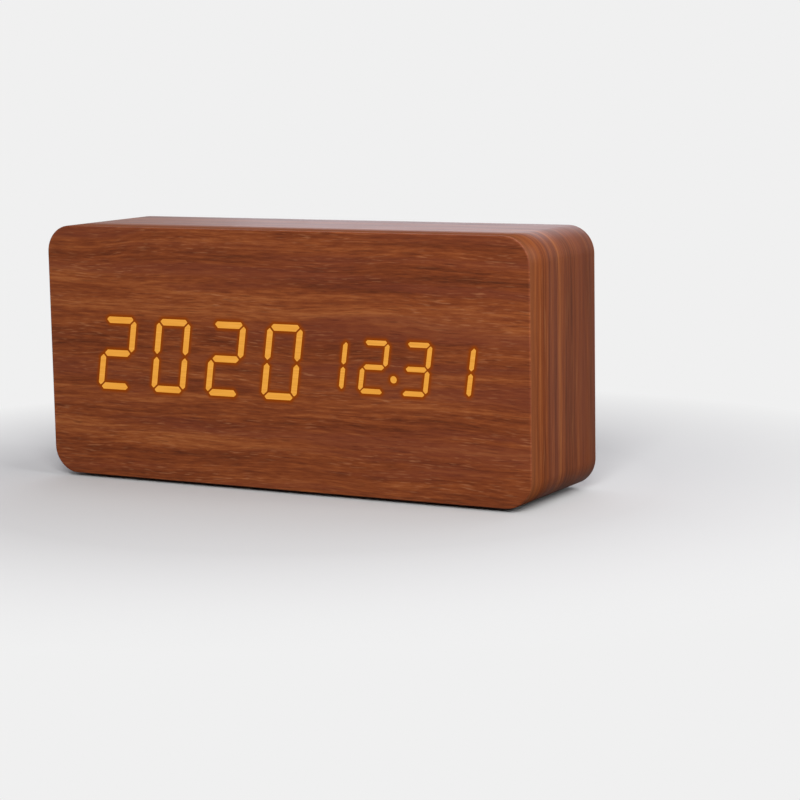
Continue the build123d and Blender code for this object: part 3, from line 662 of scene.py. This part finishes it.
def lit_outlines():
    """Rims of the lit spots on the face, as pairs of (x, z) points in millimetres, read from the inlays.

    A rim is a side that only one of an inlay's front triangles has."""
    rims = []
    for name, node in NODES.items():
        if slots[name] == "lit_segment":
            mesh = node.data
            mesh.calc_loop_triangles()
            corners = np.empty(len(mesh.loop_triangles) * 3, np.int32)
            mesh.loop_triangles.foreach_get("vertices", corners)
            places = np.empty(len(mesh.vertices) * 3, np.float32)
            mesh.vertices.foreach_get("co", places)
            places, same = np.unique((places.reshape(-1, 3) / MM).round(3), axis=0, return_inverse=True)
            corners = same.reshape(-1)[corners].reshape(-1, 3)
            front = corners[(places[corners][:, :, 1] < FACE_Y + ON_FACE).all(1)]
            sides, uses = np.unique(
                np.sort(front[:, [[0, 1], [1, 2], [2, 0]]].reshape(-1, 2)), axis=0, return_counts=True
            )
            rims.append(places[sides[uses == 1]][:, :, [0, 2]])
    return np.concatenate(rims)


def distance_to(points, pairs):
    """Least distance of each point to a set of straight runs, in millimetres, worked out as one array.

    A point's foot on a run is its share of the way along, held between the run's two ends."""
    start, run = pairs[:, 0].astype(np.float32), (pairs[:, 1] - pairs[:, 0]).astype(np.float32)
    points = points.astype(np.float32)
    length = np.maximum((run**2).sum(1), 1e-9)
    share = np.clip((points @ run.T - (start * run).sum(1)) / length, 0, 1)
    gap_x = points[:, :1] - start[:, 0] - share * run[:, 0]
    gap_z = points[:, 1:] - start[:, 1] - share * run[:, 1]
    return np.sqrt((gap_x**2 + gap_z**2).min(1))


def face_foil(material):
    """The face's foil, its front cut into small cells round the digits, so that it can carry their glow."""
    node = NODES["front_veneer"]
    work = bmesh.new()
    work.from_mesh(node.data)
    bmesh.ops.remove_doubles(work, verts=work.verts, dist=FACE_WELD * MM)
    pairs = lit_outlines()
    low, high = pairs.reshape(-1, 2).min(0) - GLOW_REACH, pairs.reshape(-1, 2).max(0) + GLOW_REACH
    faces = [face for face in work.faces if face.calc_center_median().y < (FACE_Y + ON_FACE) * MM]
    front = faces + list(dict.fromkeys(part for face in faces for part in (*face.edges, *face.verts)))
    for axis, normal in ((0, (1, 0, 0)), (1, (0, 0, 1))):
        for place in np.arange(low[axis], high[axis] + GLOW_CELL, GLOW_CELL):
            plane = Vector(normal) * place * MM
            front = bmesh.ops.bisect_plane(work, geom=front, plane_co=plane, plane_no=normal)["geom"]
    mesh = bpy.data.meshes.new("face_foil")
    bmesh.ops.triangulate(work, faces=work.faces)
    work.to_mesh(mesh)
    work.free()
    points = np.empty(len(mesh.vertices) * 3, np.float32)
    mesh.vertices.foreach_get("co", points)
    points = points.reshape(-1, 3) / MM
    flat = points[:, [0, 2]]
    gap = distance_to(flat, pairs)
    glow = np.exp(-((gap / GLOW_FADE) ** 2)) * (points[:, 1] < FOIL_FRONT_Y - BACK_MARGIN)
    # Painted highlight along the face's outer edge: full at the edge, gone a fade's length inside it
    inner = np.abs(flat - [0, MIDDLE]) - [HALF_WIDTH - CORNER_RADIUS, HALF_HEIGHT - CORNER_RADIUS]
    rim = CORNER_RADIUS - np.linalg.norm(np.maximum(inner, 0), axis=1)
    edge = np.clip(1 - rim / EDGE_HIGHLIGHT_FADE, 0, 1)
    for name, values in (("glow", glow), ("edge", edge)):
        layer = mesh.attributes.new(name, "FLOAT", "POINT")
        layer.data.foreach_set("value", values.astype(np.float32))
    mesh.materials.append(material)
    piece = bpy.data.objects.new("face_foil", mesh)
    bpy.context.scene.collection.objects.link(piece)
    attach(piece, "case")
    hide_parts("front_veneer")


# Stage, light and camera


def camera():
    """A camera at the photograph's angle: round the block's middle, then moved and rolled with its frame."""
    azimuth, elevation, roll = (math.radians(a) for a in (VIEW_AZIMUTH, VIEW_ELEVATION, VIEW_ROLL))
    flat = math.cos(elevation)
    back = Vector((math.sin(azimuth) * flat, -math.cos(azimuth) * flat, math.sin(elevation)))
    level = Vector((0, 0, 1)).cross(back).normalized()
    upright = back.cross(level)
    right = math.cos(roll) * level + math.sin(roll) * upright
    up = math.cos(roll) * upright - math.sin(roll) * level
    place = Vector((0, 0, MIDDLE)) + back * VIEW_DISTANCE + right * MOVED_RIGHT + up * MOVED_UP
    data = bpy.data.cameras.new("photo_camera")
    data.sensor_width = SENSOR
    data.sensor_fit = "HORIZONTAL"
    data.lens = FOCAL_PIXELS / FRAME_PIXELS * SENSOR
    data.clip_start = NEAREST * MM
    eye = bpy.data.objects.new("photo_camera", data)
    eye.matrix_world = Matrix.Translation(place * MM) @ Matrix((right, up, back)).transposed().to_4x4()
    bpy.context.scene.collection.objects.link(eye)
    bpy.context.scene.camera = eye


def world():
    """A pale studio: plain for the camera, brighter behind the block than before it for its light."""
    studio = bpy.data.worlds.new("studio")
    studio.use_nodes = True
    tree = studio.node_tree
    tree.nodes.clear()
    ray = add(tree, "ShaderNodeLightPath").outputs
    direction = add(tree, "ShaderNodeTexCoord").outputs["Generated"]
    feeds = {0: direction, 1: BACK_LIGHT}
    facing = add(tree, "ShaderNodeVectorMath", feeds, operation="DOT_PRODUCT").outputs["Value"]
    level = remap(tree, facing, *BACK_SPREAD, WORLD_LOW, WORLD_HIGH)
    soft = add(tree, "ShaderNodeBackground", {"Color": WORLD_TINT, "Strength": level})
    plain = add(tree, "ShaderNodeBackground", {"Color": linear(BACKGROUND), "Strength": 1.0})
    seen = maths(tree, "MAXIMUM", ray["Is Camera Ray"], ray["Is Transmission Ray"])
    seen = maths(tree, "MAXIMUM", seen, ray["Is Glossy Ray"])
    mixed = add(tree, "ShaderNodeMixShader", {0: seen, 1: soft.outputs[0], 2: plain.outputs[0]})
    add(tree, "ShaderNodeOutputWorld", {"Surface": mixed.outputs[0]})
    bpy.context.scene.world = studio


def softbox(name, place, aim, size, power, tint=(1, 1, 1)):
    """A square area lamp, placed and aimed in millimetres."""
    data = bpy.data.lights.new(name, "AREA")
    data.shape = "SQUARE"
    data.size = size * MM
    data.energy = power
    data.color = tint
    lamp = bpy.data.objects.new(name, data)
    lamp.location = Vector(place) * MM
    lamp.rotation_euler = (Vector(aim) - Vector(place)).to_track_quat("-Z", "Y").to_euler()
    bpy.context.scene.collection.objects.link(lamp)


def floor():
    """A pale floor that fades into the background away from the block.

    It is darker for light that bounces off it, and in a glossy reflection, so that satin wood stays clear."""
    material, tree = new_material("studio_floor")
    away = add(tree, "ShaderNodeVectorMath", {0: object_mm(tree)}, operation="LENGTH").outputs["Value"]
    plain = add(tree, "ShaderNodeEmission", {"Color": linear(BACKGROUND), "Strength": 1.0})
    ray = add(tree, "ShaderNodeLightPath").outputs
    far = remap(tree, away, *FLOOR_FADE)
    seen = maths(tree, "MAXIMUM", ray["Is Camera Ray"], ray["Is Transmission Ray"])
    seen = maths(tree, "MAXIMUM", seen, maths(tree, "MULTIPLY", ray["Is Glossy Ray"], FLOOR_GLOSS))
    shade = blend_colours(tree, seen, linear(FLOOR_BOUNCE), linear(FLOOR_SEEN))
    paper = add(tree, "ShaderNodeBsdfDiffuse", {"Color": shade})
    factor = maths(tree, "MULTIPLY", far, seen)
    mixed = add(tree, "ShaderNodeMixShader", {0: factor, 1: paper.outputs[0], 2: plain.outputs[0]})
    finish_material(tree, mixed)
    mesh = bpy.data.meshes.new("studio_floor")
    turns = np.linspace(0, 2 * math.pi, FLOOR_POINTS, endpoint=False)
    ring = np.stack([np.cos(turns), np.sin(turns), np.zeros_like(turns)], -1) * FLOOR_RADIUS * MM
    mesh.from_pydata(ring, [], [range(len(ring))])
    mesh.materials.append(material)
    slab = bpy.data.objects.new("studio_floor", mesh)
    bpy.context.scene.collection.objects.link(slab)
    slab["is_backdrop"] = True


camera()
world()
floor()
softbox("key", (370, -690, 490), (0, 0, MIDDLE), 420, 8.4)
softbox("side_fill", (620, -60, 380), (0, 0, MIDDLE), 380, 2.6)
softbox("back_glare", (-260, 880, 390), (0, 0, MIDDLE), 640, 1.85, tint=(0.84, 0.87, 1))

# Pieces and finishes

side_foil(walnut_wrap())
face_foil(walnut_face())
cell_springs(metal("spring_wire_nickel", "C9C4BA", 0.22))

FINISHES = {
    "walnut_foil": walnut_back(),
    "fibreboard": fibreboard(),
    "lit_segment": lit_segment(),
    "diffuser_film": moulded("diffuser_film_milky", "E8E6E0", 0.5),
    "reflector_plastic": moulded("abs_black_matt", "121213", 0.6),
    "clear_resin": clear_resin(),
    "led_package": moulded("led_epoxy_amber", "D99A35", 0.2),
    "circuit_board": solder_mask(),
    "chip_plastic": moulded("chip_epoxy_black", "1A1A1C", 0.6, grain=0.15),
    "metal_can": metal("aluminium_drawn", "C9CBCF", 0.3),
    "zinc_steel": metal("steel_zinc_plated", "A9AAAD", 0.35),
    "nickel_strip": metal("spring_steel_nickel", "C4BEB4", 0.25),
    "header_nylon": moulded("nylon_natural", "DAD7CB", 0.45),
    "cable_jacket": moulded("pvc_cable_grey", "6E7074", 0.5),
    "black_abs": moulded("abs_black_spark", "17171A", 0.5, grain=0.3, depth=0.03),
    "lever_plastic": moulded("acetal_white", "D9D9D6", 0.4),
    "thermistor_epoxy": moulded("epoxy_dipped_dark", "14182E", 0.25),
    "foot_rubber": moulded("rubber_foot", "151515", 0.8, grain=0.2, depth=0.04),
}
for name, node in NODES.items():
    if slots[name] == "cell_wrap":
        finish = cell_film(name)
    elif slots[name] == "button_plastic":
        finish = moulded(f"abs_black_{name}", "1C1C1F", 0.32, grain=0.5, depth=0.004, marked=name)
    else:
        finish = FINISHES[slots[name]]
    node.data.materials.clear()
    node.data.materials.append(finish)

bpy.context.scene.view_settings.view_transform = "Standard"

seen_box = [list(corner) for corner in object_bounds()]
boxes = {"cad": cad_box, "visual": seen_box}
{name: [[float(c) for c in corner] for corner in box] for name, box in boxes.items()}
